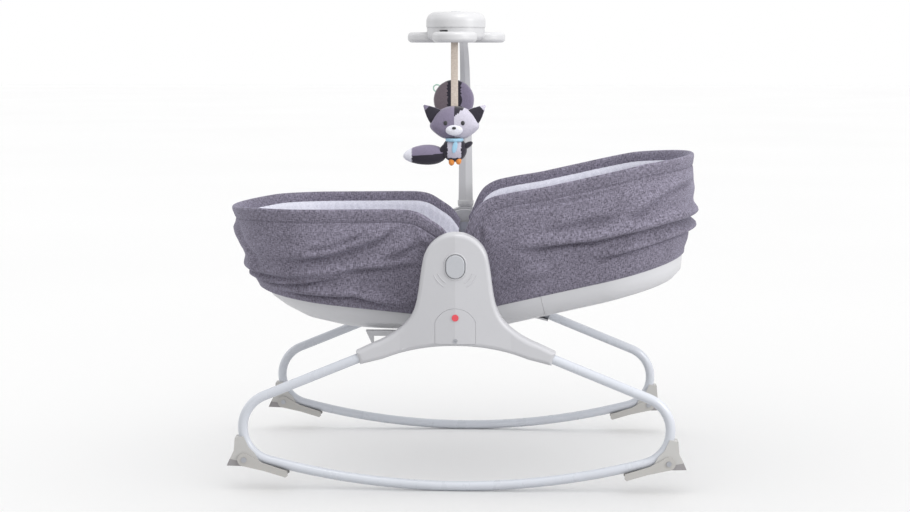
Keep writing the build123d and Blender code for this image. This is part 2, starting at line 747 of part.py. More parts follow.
def mobile_switch():
    """Small sliding switch in the front of the mobile's base."""
    return box(MOBILE_X - 24, MOBILE_X - 18, -54.5, -46, MOBILE_SEAM_Z - 8.4, MOBILE_SEAM_Z - 5.6)


def music_unit():
    """Sounder and board inside the mobile."""
    board = rod_z(MOBILE_X, 0, MOBILE_SEAM_Z - 15.8, MOBILE_SEAM_Z - 14, 40)
    speaker = rod_z(MOBILE_X, 14, MOBILE_SEAM_Z - 14, MOBILE_SEAM_Z - 4, 18)
    cells = Pos(MOBILE_X, -22, MOBILE_SEAM_Z - 7) * Rot(0, 90, 0) * Cylinder(7, 44)
    return group([board + speaker + (cells & box(-80, 80, -60, 60, MOBILE_SEAM_Z - 14, 800))])


def ribbon(y, low, high, width):
    return box(MOBILE_X - width / 2, MOBILE_X + width / 2, y - 0.8, y + 0.8, low, high)


def ball(x, y, z, rx, ry, rz):
    """Stuffed form: a ball stretched along each axis."""
    return Pos(x, y, z) * scale(Sphere(10), by=(rx / 10, ry / 10, rz / 10))


def fox_toy():
    """Stuffed fox: head, two ears, body, brush and two feet as one soft piece."""
    x = MOBILE_X
    y = TOY_Y
    head = ball(x, y, 595, 38, 17, 31)
    body = ball(x, y, 550, 21, 14, 21)
    tail = ball(x - 54, y, 542, 36, 9, 15)
    ears = []
    for sign in (-1, 1):
        ear = Pos(x + sign * 36, y, 614) * Rot(0, sign * 42, 0) * Cone(15, 3, 30)
        ears.append(ear & box(-200, 200, y - 6, y + 6, 500, 700))
    feet = ball(x - 5, y, 533, 5, 6, 7) + ball(x + 7, y, 535, 5, 6, 7)
    return head + body + tail + ears[0] + ears[1] + feet


def round_toy():
    """Flat round stuffed disc behind the fox."""
    disc = Pos(MOBILE_X - 4, BACK_TOY_Y, 632) * Rot(90, 0, 0) * Cylinder(35, 16)
    return fillet(disc.edges().filter_by(GeomType.CIRCLE), 6)


# ---- write every node -----------------------------------------------------------------
def write_frame():
    for side, sign in SIDES.items():
        write(side + "_rocker_tube", on_side(rocker_tube(TUBE_R, hollow=True), sign))
        cover = on_side(side_cover(), sign)
        liner = on_side(side_liner(), sign)
        if side == "right":
            well = rod_z(0, STALK_Y, 398, 440, SPIGOT_R + 4)
            rim = rod_z(0, STALK_Y, 427, 440, 14.5)
            cover = cover - well - rim
            liner = liner - well - rim
        write(side + "_side_cover", cover)
        write(side + "_side_liner", liner)
        write(side + "_hub_button", on_side(hub_button(), sign))
    write("access_panels", group([arch_panel(), mirror_y(arch_panel())]))
    write("badges", group([badge(), mirror_y(badge())]))
    write("button_springs", group([button_spring(), mirror_y(button_spring())]))
    write("hub_axles", group([hub_axle(), mirror_y(hub_axle())]))
    low_screw = screw(0, -COVER_OUT - 0.8, COVER_SCREW_Z, 3.5, 26, 1)
    write("cover_screws", group([low_screw, mirror_y(low_screw)]))
    sleeve = []
    for x in (-148, 148):
        one = screw(x, -COVER_IN + 1.6, 224.5, 3.5, 6, -1)
        sleeve += [one, mirror_y(one)]
    write("sleeve_screws", group(sleeve))
    write("cross_bars", cross_bars())
    bracket = carry_bracket()
    write("carry_brackets", group([bracket, mirror_y(bracket)]))


def write_feet():
    write("lever_pins", group(four_corners(lever_pin()).values()))
    write("rubber_toes", group(four_corners(rubber_toe()).values()))
    for corner, piece in four_corners(foot_bracket()).items():
        write(corner + "_bracket", piece)
    for corner, piece in four_corners(lock_lever()).items():
        write(corner + "_lock_lever", piece)


def write_seat():
    write("foot_base_shell", foot_base_shell())
    write("foot_seat_board", foot_seat_board())
    write("foot_pad", foot_pad())
    write("foot_fabric", foot_fabric())
    write("foot_rim_wire", foot_rim_wire())
    write("centre_drum", centre_drum())
    write("back_hinge_cover", back_hinge_cover())
    write("back_base_shell", back_base_shell())
    write("back_seat_board", back_seat_board())
    write("back_pad", back_pad())
    write("back_fabric", back_fabric())
    write("back_rim_wire", back_rim_wire())
    write("head_cushion", head_cushion())
    write("back_plates", group([back_plate(), mirror_y(back_plate())]))
    write("harness_straps", group([crotch_strap(), waist_strap(-1), waist_strap(1)]))
    write("buckle_body", buckle_body())
    write("buckle_button", buckle_button())
    write("buckle_tongues", buckle_tongues())


def write_vibration_unit():
    write("vibration_housing", vibration_housing())
    write("battery_door", battery_door())
    write("batteries", batteries())
    write("vibration_motor", vibration_motor())
    write("eccentric_weight", eccentric_weight())


def write_toy_bar():
    write("toy_bar_socket", toy_bar_socket())
    write("toy_stalk", toy_stalk())
    write("mobile_base", mobile_base())
    write("mobile_dome", mobile_dome())
    write("mobile_button", mobile_button())
    write("mobile_switch", mobile_switch())
    write("music_unit", music_unit())
    write("fox_ribbon", ribbon(TOY_Y, 626.2, MOBILE_SEAM_Z - 22, 12))
    write("fox_toy", fox_toy())
    write("round_ribbon", ribbon(BACK_TOY_Y, 667.1, MOBILE_SEAM_Z - 22.6, 6))
    write("round_toy", round_toy())


write_frame()
write_feet()
write_seat()
write_vibration_unit()
write_toy_bar()
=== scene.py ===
import math

import bpy
import numpy as np
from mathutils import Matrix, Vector, noise


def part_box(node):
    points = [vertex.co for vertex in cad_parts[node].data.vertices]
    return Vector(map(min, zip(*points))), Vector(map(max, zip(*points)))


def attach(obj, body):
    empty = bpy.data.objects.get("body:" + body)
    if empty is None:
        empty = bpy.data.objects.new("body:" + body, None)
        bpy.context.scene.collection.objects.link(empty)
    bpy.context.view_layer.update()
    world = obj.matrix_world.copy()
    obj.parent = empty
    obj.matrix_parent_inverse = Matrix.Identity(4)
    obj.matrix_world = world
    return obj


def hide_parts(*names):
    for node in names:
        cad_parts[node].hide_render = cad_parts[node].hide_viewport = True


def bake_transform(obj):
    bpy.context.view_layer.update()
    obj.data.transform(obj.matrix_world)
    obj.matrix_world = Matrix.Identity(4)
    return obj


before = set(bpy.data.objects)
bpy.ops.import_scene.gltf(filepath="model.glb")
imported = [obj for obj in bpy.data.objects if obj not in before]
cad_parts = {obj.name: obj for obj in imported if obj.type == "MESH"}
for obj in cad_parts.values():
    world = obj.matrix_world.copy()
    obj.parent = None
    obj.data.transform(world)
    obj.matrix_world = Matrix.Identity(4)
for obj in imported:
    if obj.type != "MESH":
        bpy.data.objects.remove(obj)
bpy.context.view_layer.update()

# ---- Camera ---------------------------------------------------------------------------
# Stands in front of the baby's left side, a little above the rim, looking slightly down.
bpy.ops.object.camera_add(
    location=(0.1111, -2.9548, 0.7225),
    rotation=(math.radians(90 - 6.986), 0, math.radians(2.357)),
)
camera = bpy.context.active_object
camera.data.lens = 67.3
camera.data.sensor_width = 36
bpy.context.scene.camera = camera

# ---- Floor and studio light -----------------------------------------------------------
# A wide plain pale floor in a white room, with a soft box on the head side, a weaker one
# at the foot end and a third overhead. The room alone lights the floor.
FLOOR_REACH = 30.0


def begin(add, **place):
    """A new primitive, with nothing else selected."""
    if bpy.context.mode != "OBJECT":
        bpy.ops.object.mode_set(mode="OBJECT")
    bpy.ops.object.select_all(action="DESELECT")
    add(**place)
    return bpy.context.active_object


def only(piece):
    """Makes one piece active and selected alone."""
    if bpy.context.mode != "OBJECT":
        bpy.ops.object.mode_set(mode="OBJECT")
    bpy.ops.object.select_all(action="DESELECT")
    piece.select_set(True)
    bpy.context.view_layer.objects.active = piece


def pick(piece, test, kind="VERT"):
    """Selects the parts of a mesh whose middle passes a test and enters edit mode."""
    only(piece)
    bpy.ops.object.mode_set(mode="EDIT")
    bpy.ops.mesh.select_mode(type=kind)
    bpy.ops.mesh.select_all(action="DESELECT")
    bpy.ops.object.mode_set(mode="OBJECT")
    if kind == "VERT":
        for v in piece.data.vertices:
            v.select = bool(test(v.co))
    elif kind == "EDGE":
        for e in piece.data.edges:
            ends = [piece.data.vertices[i].co for i in e.vertices]
            e.select = bool(test(sum(ends, Vector()) / 2))
    else:
        for f in piece.data.polygons:
            f.select = bool(test(f.center, f.normal))
    bpy.ops.object.mode_set(mode="EDIT")


def done_editing():
    bpy.ops.object.mode_set(mode="OBJECT")


def settle(piece, smooth=None):
    """Puts a piece's place into its mesh and turns its faces outwards."""
    only(piece)
    bpy.ops.object.transform_apply(location=True, rotation=True, scale=True)
    bpy.ops.object.mode_set(mode="EDIT")
    bpy.ops.mesh.select_all(action="SELECT")
    bpy.ops.mesh.remove_doubles(threshold=0.00001)
    bpy.ops.mesh.normals_make_consistent(inside=False)
    bpy.ops.object.mode_set(mode="OBJECT")
    if smooth is not None:
        bpy.ops.object.shade_smooth_by_angle(angle=math.radians(smooth))
    return piece


floor = begin(bpy.ops.mesh.primitive_plane_add, size=2 * FLOOR_REACH, location=(0, 0, 0))
floor.name = "studio_floor"
settle(floor)


def new_material(name):
    """A named material with a principled shader, and what its patterns are read from."""
    material = bpy.data.materials.new(name)
    material.use_nodes = True
    nodes = material.node_tree.nodes
    shader = nodes["Principled BSDF"]
    place = nodes.new("ShaderNodeTexCoord")
    return material, shader, place


def link(material, source, target):
    material.node_tree.links.new(source, target)


def mottle(material, source, scale, detail=3.0, rough=0.5, stretch=(1, 1, 1)):
    """Noise on coordinates, stretched along an axis where stretch is under 1."""
    nodes = material.node_tree.nodes
    sizes = nodes.new("ShaderNodeMapping")
    sizes.inputs["Scale"].default_value = stretch
    link(material, source, sizes.inputs["Vector"])
    cloud = nodes.new("ShaderNodeTexNoise")
    cloud.inputs["Scale"].default_value = scale
    cloud.inputs["Detail"].default_value = detail
    cloud.inputs["Roughness"].default_value = rough
    link(material, sizes.outputs["Vector"], cloud.inputs["Vector"])
    return cloud.outputs["Fac"]


def spread(material, value, low, high, start=0.3, end=0.7):
    """A value from noise, brought into the range low to high."""
    ranged = material.node_tree.nodes.new("ShaderNodeMapRange")
    ranged.inputs["From Min"].default_value = start
    ranged.inputs["From Max"].default_value = end
    ranged.inputs["To Min"].default_value = low
    ranged.inputs["To Max"].default_value = high
    link(material, value, ranged.inputs["Value"])
    return ranged.outputs["Result"]


def between(material, value, first, last, start=0.3, end=0.7):
    """A colour that goes from first to last as the value rises."""
    ramp = material.node_tree.nodes.new("ShaderNodeValToRGB")
    ramp.color_ramp.elements[0].position = start
    ramp.color_ramp.elements[0].color = (*first, 1)
    ramp.color_ramp.elements[1].position = end
    ramp.color_ramp.elements[1].color = (*last, 1)
    link(material, value, ramp.inputs["Fac"])
    return ramp.outputs["Color"]


def relief(material, height, depth, strength=1.0, under=None):
    """Bump of that depth in metres, laid over an earlier bump."""
    bump = material.node_tree.nodes.new("ShaderNodeBump")
    bump.inputs["Distance"].default_value = depth
    bump.inputs["Strength"].default_value = strength
    link(material, height, bump.inputs["Height"])
    if under is not None:
        link(material, under, bump.inputs["Normal"])
    return bump.outputs["Normal"]


floor_paint, shader, place = new_material("studio_floor_paint")
shader.inputs["Roughness"].default_value = 0.75
shader.inputs["Specular IOR Level"].default_value = 0.15
tone = mottle(floor_paint, place.outputs["Object"], 0.6, detail=1)
link(floor_paint, between(floor_paint, tone, (0.985, 0.985, 0.985), (1.0, 1.0, 1.0)),
     shader.inputs["Base Color"])
floor.data.materials.append(floor_paint)

# The lamps light everything but the floor, which this collection leaves out.
kept_white = bpy.data.collections.new("floor_lit_by_room")
kept_white.objects.link(floor)
kept_white.collection_objects[0].light_linking.link_state = "EXCLUDE"


def soft_box(name, place, aim, width, height, power, tint=(1, 1, 1)):
    """A rectangular lamp at a place, turned towards a point, that leaves the floor alone."""
    lamp = begin(bpy.ops.object.light_add, type="AREA", location=place)
    lamp.name = name
    lamp.data.shape = "RECTANGLE"
    lamp.data.size, lamp.data.size_y = width, height
    lamp.data.energy = power
    lamp.data.color = tint
    lamp.rotation_euler = (Vector(aim) - Vector(place)).to_track_quat("-Z", "Y").to_euler()
    lamp.light_linking.receiver_collection = kept_white


soft_box("key_light", (2.5, -1.5, 1.4), (0.1, 0, 0.35), 1.0, 1.0, 46)
soft_box("foot_light", (-2.6, 0.9, 1.5), (-0.2, 0, 0.35), 1.2, 1.6, 10, (0.93, 0.95, 1))
soft_box("top_light", (0.5, -0.7, 2.6), (0, 0, 0.3), 1.2, 1.0, 26)
room = bpy.data.worlds.new("white_room")
bpy.context.scene.world = room
room.use_nodes = True
room.node_tree.nodes["Background"].inputs["Color"].default_value = (1, 1, 1, 1)
room.node_tree.nodes["Background"].inputs["Strength"].default_value = 1.0
bpy.context.scene.view_settings.view_transform = "Standard"
bpy.context.scene.view_settings.look = "None"

# ---- Rocker tubes ---------------------------------------------------------------------
# One bent steel tube a side, closed on itself inside the side cover, powder coated in a
# pale blue white. Both stand on the floor along their lowest line.


def dress(material, *names):
    """Gives CAD nodes their finish."""
    for name in names:
        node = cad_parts[name]
        node.data.materials.clear()
        node.data.materials.append(material)


def moulded(name, colour, roughness, grain=0.00006, shift=0.04, gloss=0.4, scuff=0.06):
    """Moulded or painted surface: fine grain, faint cloudiness, uneven gloss and scuffs."""
    material, shader, place = new_material(name)
    spot = place.outputs["Object"]
    dark = tuple(c * (1 - shift) for c in colour)
    cloud = mottle(material, spot, 9, detail=4)
    link(material, between(material, cloud, dark, colour), shader.inputs["Base Color"])
    haze = mottle(material, spot, 38, detail=5, rough=0.62, stretch=(1, 1, 0.35))
    link(material, spread(material, haze, roughness - scuff, roughness + scuff),
         shader.inputs["Roughness"])
    fine = mottle(material, spot, 1500, detail=2)
    wavy = mottle(material, spot, 60, detail=2)
    low = relief(material, wavy, grain * 1.5, 0.35)
    link(material, relief(material, fine, grain, 0.5, low), shader.inputs["Normal"])
    shader.inputs["Specular IOR Level"].default_value = gloss
    return material


powder_coat = moulded("powder_coat", (0.50, 0.52, 0.565), 0.3, grain=0.00009, gloss=0.5)
powder_coat.node_tree.nodes["Principled BSDF"].inputs["Coat Weight"].default_value = 0.15
dress(powder_coat, "left_rocker_tube", "right_rocker_tube")

# ---- Side housings --------------------------------------------------------------------
# Each side cover is one injection moulding over the tube ends and the hub, with a shallow
# crease down its middle. The liner closes it from inside. Satin, nearly white.
cover_plastic = moulded("cover_plastic", (0.45, 0.45, 0.47), 0.36, scuff=0.05)
dress(cover_plastic, "left_side_cover", "right_side_cover", "left_side_liner",
      "right_side_liner", "access_panels", "toy_bar_socket")
base_plastic = moulded("base_plastic", (0.52, 0.52, 0.54), 0.42)
dress(base_plastic, "foot_base_shell", "back_base_shell", "back_hinge_cover", "centre_drum",
      "carry_brackets", "vibration_housing", "battery_door")
# The long shells are merged copies of the CAD's own meshes, shaded smooth.
for copy_name, node, body in (
    ("smooth_foot_base", "foot_base_shell", "base"),
    ("smooth_back_base", "back_base_shell", "backrest"),
    ("smooth_hinge_cover", "back_hinge_cover", "backrest"),
):
    shell = bpy.data.objects.new(copy_name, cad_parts[node].data.copy())
    bpy.context.scene.collection.objects.link(shell)
    only(shell)
    bpy.ops.mesh.customdata_custom_splitnormals_clear()
    bpy.ops.object.mode_set(mode="EDIT")
    bpy.ops.mesh.select_all(action="SELECT")
    bpy.ops.mesh.remove_doubles(threshold=0.00002)
    bpy.ops.object.mode_set(mode="OBJECT")
    bpy.ops.object.shade_smooth_by_angle(angle=math.radians(38))
    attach(shell, body)
    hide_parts(node)
button_plastic = moulded("button_plastic", (0.40, 0.41, 0.435), 0.4)
dress(button_plastic, "left_hub_button", "right_hub_button", "mobile_button")
badge_red = moulded("badge_red", (0.62, 0.06, 0.08), 0.25, gloss=0.6)
dress(badge_red, "badges")
zinc = moulded("zinc_plate", (0.42, 0.43, 0.46), 0.33, gloss=0.5)
zinc.node_tree.nodes["Principled BSDF"].inputs["Metallic"].default_value = 0.9
dress(zinc, "button_springs", "hub_axles", "cover_screws", "sleeve_screws", "lever_pins",
      "cross_bars", "back_plates", "foot_rim_wire", "back_rim_wire", "vibration_motor",
      "eccentric_weight", "batteries")
corners = ("foot_left", "foot_right", "head_left", "head_right")
foot_plastic = moulded("foot_plastic", (0.44, 0.435, 0.425), 0.5)
dress(foot_plastic, *[c + "_bracket" for c in corners])
lever_plastic = moulded("lever_plastic", (0.41, 0.40, 0.385), 0.48)
dress(lever_plastic, *[c + "_lock_lever" for c in corners])
toe_rubber = moulded("toe_rubber", (0.27, 0.26, 0.265), 0.7, gloss=0.25)
dress(toe_rubber, "rubber_toes")
pressed_board = moulded("pressed_board", (0.42, 0.31, 0.2), 0.75, shift=0.2)
dress(pressed_board, "foot_seat_board", "back_seat_board")
dark_plastic = moulded("dark_plastic", (0.03, 0.03, 0.033), 0.4)
dress(dark_plastic, "mobile_switch", "music_unit")
buckle_plastic = moulded("buckle_plastic", (0.55, 0.55, 0.56), 0.4)
dress(buckle_plastic, "buckle_body", "buckle_tongues", "buckle_button")
mobile_plastic = moulded("mobile_plastic", (0.50, 0.50, 0.51), 0.35)
dress(mobile_plastic, "toy_stalk", "mobile_base", "mobile_dome")

# ---- Fabric tub: outer cover ----------------------------------------------------------
# Each seat half has one outer sheet of melange weave. It is turned over a steel wire at the
# rim and stitched into a hem, hangs in loose folds, and tucks into the lip of the base.
PIVOT = Vector((0, 0, (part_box("hub_axles")[0].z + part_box("hub_axles")[1].z) / 2))
RECLINE = math.radians(13)
NOSE = 0.88
COLUMNS = 240
HEM = 0.021
MM = 0.001


def edge_line(tip, half, heights):
    """One edge of a seat half, hub to tip to hub: points x from the hub, y and z, in mm."""
    reach = half * NOSE
    start = tip - reach
    side = [(x, -half) for x in np.linspace(heights[0][0], start, 90)]
    turn = np.linspace(0, math.pi / 2, 70)[1:]
    side += [(start + reach * math.sin(t), -half * math.cos(t)) for t in turn]
    side += [(x, -y) for x, y in reversed(side[:-1])]
    line = np.array(side)
    xs, zs = zip(*heights)
    z = np.interp(line[:, 0], xs, zs)
    soft = np.array([math.exp(-((i / 4) ** 2)) for i in range(-9, 10)])
    padded_z = np.concatenate([np.full(9, z[0]), z, np.full(9, z[-1])])
    z = np.convolve(padded_z, soft / soft.sum(), mode="valid")
    return np.column_stack([line, z])


def evenly(line, count):
    """The same line as count + 1 points, evenly spaced, and the length up to each."""
    steps = np.linalg.norm(np.diff(line, axis=0), axis=1)
    gone = np.concatenate([[0], np.cumsum(steps)])
    wanted = np.linspace(0, gone[-1], count + 1)
    points = np.column_stack([np.interp(wanted, gone, line[:, i]) for i in range(3)])
    return points, wanted


def outward(points):
    """Level direction pointing out of the tub at each point of its edge."""
    along = np.gradient(points[:, :2], axis=0)
    along[0], along[-1] = (1, 0), (-1, 0)
    out = np.column_stack([along[:, 1], -along[:, 0], np.zeros(len(points))])
    return out / np.linalg.norm(out, axis=1)[:, None]


def crease(x, z, line, width, depth, upright=False):
    """A fold lying along a line of points: it swells above the line and sinks below it."""
    first, second = zip(*line)
    run, across = (z, x) if upright else (x, z)
    away = across - np.interp(run, first, second)
    ends = (first[-1] - first[0]) * 0.22
    fade = np.clip((run - first[0]) / ends + 0.35, 0, 1)
    fade = fade * np.clip((first[-1] - run) / ends + 0.35, 0, 1)
    swell = np.exp(-(((away - width) / width) ** 2))
    sink = np.exp(-(((away + width * 0.25) / (width * 0.5)) ** 2))
    return depth * fade * (swell - 0.75 * sink)


def wall_sheet(name, way, tilt, rim, lip, section, shape):
    """A sheet between rim and lip. The section gives each row's offset and share or depth."""
    top, gone = evenly(edge_line(*rim), COLUMNS)
    low, _ = evenly(edge_line(*lip), COLUMNS)
    out = outward(top)
    fall = low - top
    height = np.linalg.norm(fall, axis=1)
    rows = len(section) - 1
    grid = begin(bpy.ops.mesh.primitive_grid_add, x_subdivisions=COLUMNS,
                 y_subdivisions=rows, size=1)
    grid.name = name
    flat = np.array([v.co for v in grid.data.vertices])
    column = np.rint((flat[:, 0] + 0.5) * COLUMNS).astype(int)
    row = np.rint((flat[:, 1] + 0.5) * rows).astype(int)
    offset = np.array([s[0] for s in section])[row]
    depth = np.array([s[1] for s in section])[row]
    share = np.array([s[2] for s in section])[row]
    down = depth + share * height[column]
    place = top[column] + fall[column] * (down / height[column])[:, None]
    spots = place.copy()
    spots[:, 0] = place[:, 0] * math.cos(tilt) - place[:, 2] * math.sin(tilt)
    spots[:, 2] = place[:, 0] * math.sin(tilt) + place[:, 2] * math.cos(tilt)
    spots[:, 2] += PIVOT.z / MM
    push, drop = shape(spots, gone[column], down, height[column], share)
    moved = place + out[column] * (offset + push)[:, None]
    moved[:, 2] -= drop
    x = moved[:, 0] * math.cos(tilt) - moved[:, 2] * math.sin(tilt)
    z = moved[:, 0] * math.sin(tilt) + moved[:, 2] * math.cos(tilt)
    final = np.column_stack([x * way, moved[:, 1], z + PIVOT.z / MM]) * MM
    grid.data.vertices.foreach_set("co", final.ravel())
    loops = np.zeros(len(grid.data.loops), int)
    grid.data.loops.foreach_get("vertex_index", loops)
    lengths = np.column_stack([gone[column], down])[loops] * MM
    grid.data.uv_layers.active.data.foreach_set("uv", lengths.ravel())
    grid.data.update()
    return grid


def clouds(spots, seed, size, stretch):
    """Soft noise at each spot, drawn out along a direction, from about -1 to 1."""
    lean, squeeze = stretch
    found = []
    for x, y, z in spots:
        a = (x * math.cos(lean) + z * math.sin(lean)) / size / squeeze
        b = (z * math.cos(lean) - x * math.sin(lean)) / size
        found.append(noise.noise(Vector((a + seed, b, y / size / squeeze))))
    return np.array(found) * 1.6


FOOT_RIM = (398.5, 182, [(8, 25), (14, 48), (30, 60), (45, 69), (61, 80.5), (83, 85),
                         (120, 85), (340, 83), (398, 77)])
FOOT_LIP = (352, 178, [(22, -91), (352, -58)])
BACK_RIM = (429, 182, [(16, 30), (28, 50), (42, 70), (54, 83), (80, 91), (120, 90),
                       (164, 87), (340, 86), (429, 76)])
BACK_LIP = (377, 176, [(16, -85), (377, -86)])
FOOT_FOLDS = [
    ([(78, 441), (129, 411), (173, 393), (218, 381), (280, 374)], 9, 9.5, False),
    ([(140, 428), (176, 411), (205, 401), (248, 393)], 7, 6, False),
    ([(80, 366), (159, 361), (218, 351), (277, 345), (420, 347)], 8, 9, False),
    ([(180, 349), (259, 335), (307, 331), (420, 338)], 6, 8.5, False),
    ([(98, 296), (129, 305), (171, 316), (200, 315), (285, 319)], 7, 10, False),
    ([(60, 405), (95, 385), (140, 372)], 10, 5, False),
    ([(400, 40), (420, 52), (446, 68)], 7, 11, True),
    ([(345, 327), (377, 339), (395, 361), (432, 384)], 11, 5, True),
]
BACK_FOLDS = [
    ([(60, 458), (103, 462), (153, 471), (205, 480), (263, 496), (320, 511), (390, 531)],
     7, 8, False),
    ([(112, 393), (159, 403), (223, 410), (281, 422), (336, 433), (430, 445)], 9, 13, False),
    ([(228, 379), (264, 388), (293, 395), (351, 409), (430, 421)], 7, 11, False),
    ([(282, 445), (321, 474), (358, 492), (388, 500)], 9, 8, False),
    ([(150, 425), (205, 440), (262, 447)], 11, 4.5, False),
    ([(412, 41), (437, 40), (462, 62)], 6, 10, True),
    ([(78, 322), (110, 340), (150, 352)], 12, 4, False),
]


def draped(folds, seed, lean, belly, hub_free):
    """How an outer sheet hangs: its belly, its folds, and small wrinkles off the hub."""
    def shape(spots, gone, down, height, share):
        x, z = spots[:, 0], spots[:, 2]
        loose = np.clip((down / HEM * MM - 1) * 1.2, 0, 1) * np.clip((height - down) / 9, 0, 1)
        free = np.clip((x - hub_free) / 70, 0.15, 1)
        part = np.clip(down / height, 0, 1)
        push = belly * np.sin(math.pi * part ** 1.25) ** 0.8 * free
        drop = np.zeros(len(x))
        for line, width, depth, upright in folds:
            fold = crease(x, z, line, width, depth, upright)
            push = push + fold * np.where(upright, 0.8, 1) * np.clip(free + 0.3, 0, 1)
            drop = drop + np.clip(fold, 0, None) * (0 if upright else 0.45)
        wide = clouds(spots, seed, 42, (lean, 3.2))
        tight = clouds(spots, seed + 9, 15, (lean, 3.0))
        push = push + (wide * 3.2 + tight * 1.1) * free
        return push * loose, drop * loose
    return shape


HEM_SECTION = [(-6.6, 20, 0), (-6.8, 15, 0), (-6.9, 10, 0), (-6.8, 6, 0), (-6.3, 3.2, 0),
               (-5.2, 1.2, 0), (-3.6, 0.1, 0), (-1.9, 0.2, 0), (-0.5, 1.3, 0), (0.4, 3.2, 0),
               (0.8, 6, 0), (0.5, 9.5, 0), (0.3, 13, 0), (0.2, 16.5, 0), (-0.2, 19, 0),
               (-1.5, 20.6, 0), (-1.7, 21.4, 0), (-0.3, 22.8, 0), (0.2, 25, 0)]
BODY_ROWS = 52


def outer_section(tuck):
    """Rows from inside the hem, over the rim and down to the lip, where it tucks in."""
    rows = list(HEM_SECTION)
    rows += [(0.2, 25 * (1 - i / BODY_ROWS), i / BODY_ROWS) for i in range(1, BODY_ROWS + 1)]
    rows += [(-1.5, 1.5, 1.0), (-tuck, 1.2, 1.0)]
    return rows


def cloth_material(name, dark, light, sheen, thread=1.0):
    """Melange weave: streaks of lighter yarn both ways, crossing threads and a soft nap."""
    material, shader, place = new_material(name)
    flat = place.outputs["UV"]
    nodes = material.node_tree.nodes
    across = mottle(material, flat, 560 * thread, detail=2, rough=0.6, stretch=(0.3, 1, 1))
    upward = mottle(material, flat, 560 * thread, detail=2, rough=0.6, stretch=(1, 0.3, 1))
    both = nodes.new("ShaderNodeMath")
    both.operation = "ADD"
    link(material, across, both.inputs[0])
    link(material, upward, both.inputs[1])
    patch = mottle(material, flat, 26, detail=4)
    mixed = nodes.new("ShaderNodeMath")
    mixed.operation = "MULTIPLY_ADD"
    link(material, patch, mixed.inputs[0])
    mixed.inputs[1].default_value = 0.22
    link(material, both.outputs[0], mixed.inputs[2])
    share = spread(material, mixed.outputs[0], 0, 1, 0.86, 1.36)
    link(material, between(material, share, dark, light, 0, 1), shader.inputs["Base Color"])
    threads = []
    for direction in ("X", "Y"):
        wave = nodes.new("ShaderNodeTexWave")
        wave.bands_direction = direction
        wave.inputs["Scale"].default_value = 220 * thread
        wave.inputs["Distortion"].default_value = 1.5
        wave.inputs["Detail Scale"].default_value = 3.0
        link(material, flat, wave.inputs["Vector"])
        threads.append(wave.outputs["Fac"])
    first = relief(material, threads[0], 0.00018, 0.3)
    second = relief(material, threads[1], 0.00018, 0.3, first)
    link(material, relief(material, both.outputs[0], 0.0003, 0.25, second),
         shader.inputs["Normal"])
    rough = mottle(material, flat, 140, detail=3)
    link(material, spread(material, rough, 0.82, 0.98), shader.inputs["Roughness"])
    shader.inputs["Specular IOR Level"].default_value = 0.18
    shader.inputs["Sheen Weight"].default_value = sheen
    shader.inputs["Sheen Roughness"].default_value = 0.45
    shader.inputs["Sheen Tint"].default_value = (0.82, 0.82, 1.0, 1)
    return material


def thicken(piece, thickness, offset=-1):
    """Gives a sheet its thickness and keeps it round where it folds."""
    only(piece)
    wall = piece.modifiers.new("cloth_thickness", "SOLIDIFY")
    wall.thickness = thickness
    wall.offset = offset
    bpy.ops.object.modifier_apply(modifier=wall.name)
    bpy.ops.object.shade_smooth()


melange = cloth_material("melange_weave", (0.07, 0.063, 0.083), (0.235, 0.218, 0.28), 0.2)


def outer_cover(name, node, body, way, tilt, rim, lip, folds, seed, lean, belly, tuck):
    sheet = wall_sheet(name, way, tilt, rim, lip, outer_section(tuck),
                       draped(folds, seed, lean, belly, 40))
    only(sheet)
    bpy.ops.object.mode_set(mode="EDIT")
    bpy.ops.mesh.select_all(action="SELECT")
    if way < 0:
        bpy.ops.mesh.flip_normals()
    bpy.ops.mesh.vertices_smooth(factor=0.35, repeat=1)
    bpy.ops.object.mode_set(mode="OBJECT")
    thicken(sheet, 0.0012)
    sheet.data.materials.clear()
    sheet.data.materials.append(melange)
    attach(sheet, body)
    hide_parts(node)


outer_cover("foot_outer_cover", "foot_fabric", "base", -1, 0.0, FOOT_RIM, FOOT_LIP,
            FOOT_FOLDS, 3.0, math.radians(-12), 6.0, 8)
outer_cover("back_outer_cover", "back_fabric", "backrest", 1, RECLINE, BACK_RIM, BACK_LIP,
            BACK_FOLDS, 17.0, math.radians(13), 7.0, 6)

# ---- Fabric tub: lining ---------------------------------------------------------------
# A soft pale jersey over thin wadding, sewn under the hem and lightly gathered there. It
# falls inside the outer sheet to the seat pad. A gusset a side bridges the hinge.
LINING_ROWS = 34
GATHER = 15.0


def lining_section():
    rows = [(-7.3, 12.5, 0), (-8.0, 16.5, 0), (-8.6, 19.5, 0), (-9.6, 22, 0)]
    for i in range(1, LINING_ROWS + 1):
        t = i / LINING_ROWS
        rows.append((-9.6 - 1.5 * t, 22 * (1 - t), 0.84 * t))
    return rows + [(-14, 0, 0.872), (-19, 0, 0.884), (-25, 0, 0.888)]


def gathered(seed):
    """Small upright gathers under the hem that fade out downwards, and soft dents."""
    def shape(spots, gone, down, height, share):
        fade = np.exp(-np.clip(down - 20, 0, None) / 24) * np.clip((down - 13) / 6, 0, 1)
        wander = clouds(spots, seed, 45, (0, 1.0)) * 3.0
        pleat = np.sin(gone / GATHER * 2 * math.pi + wander)
        soft = clouds(spots, seed + 4, 34, (0.9, 1.6)) * 1.6
        held = np.clip(down / 20 - 0.8, 0, 1)
        return (pleat * fade * 2.4 + soft) * held, np.zeros(len(down))
    return shape


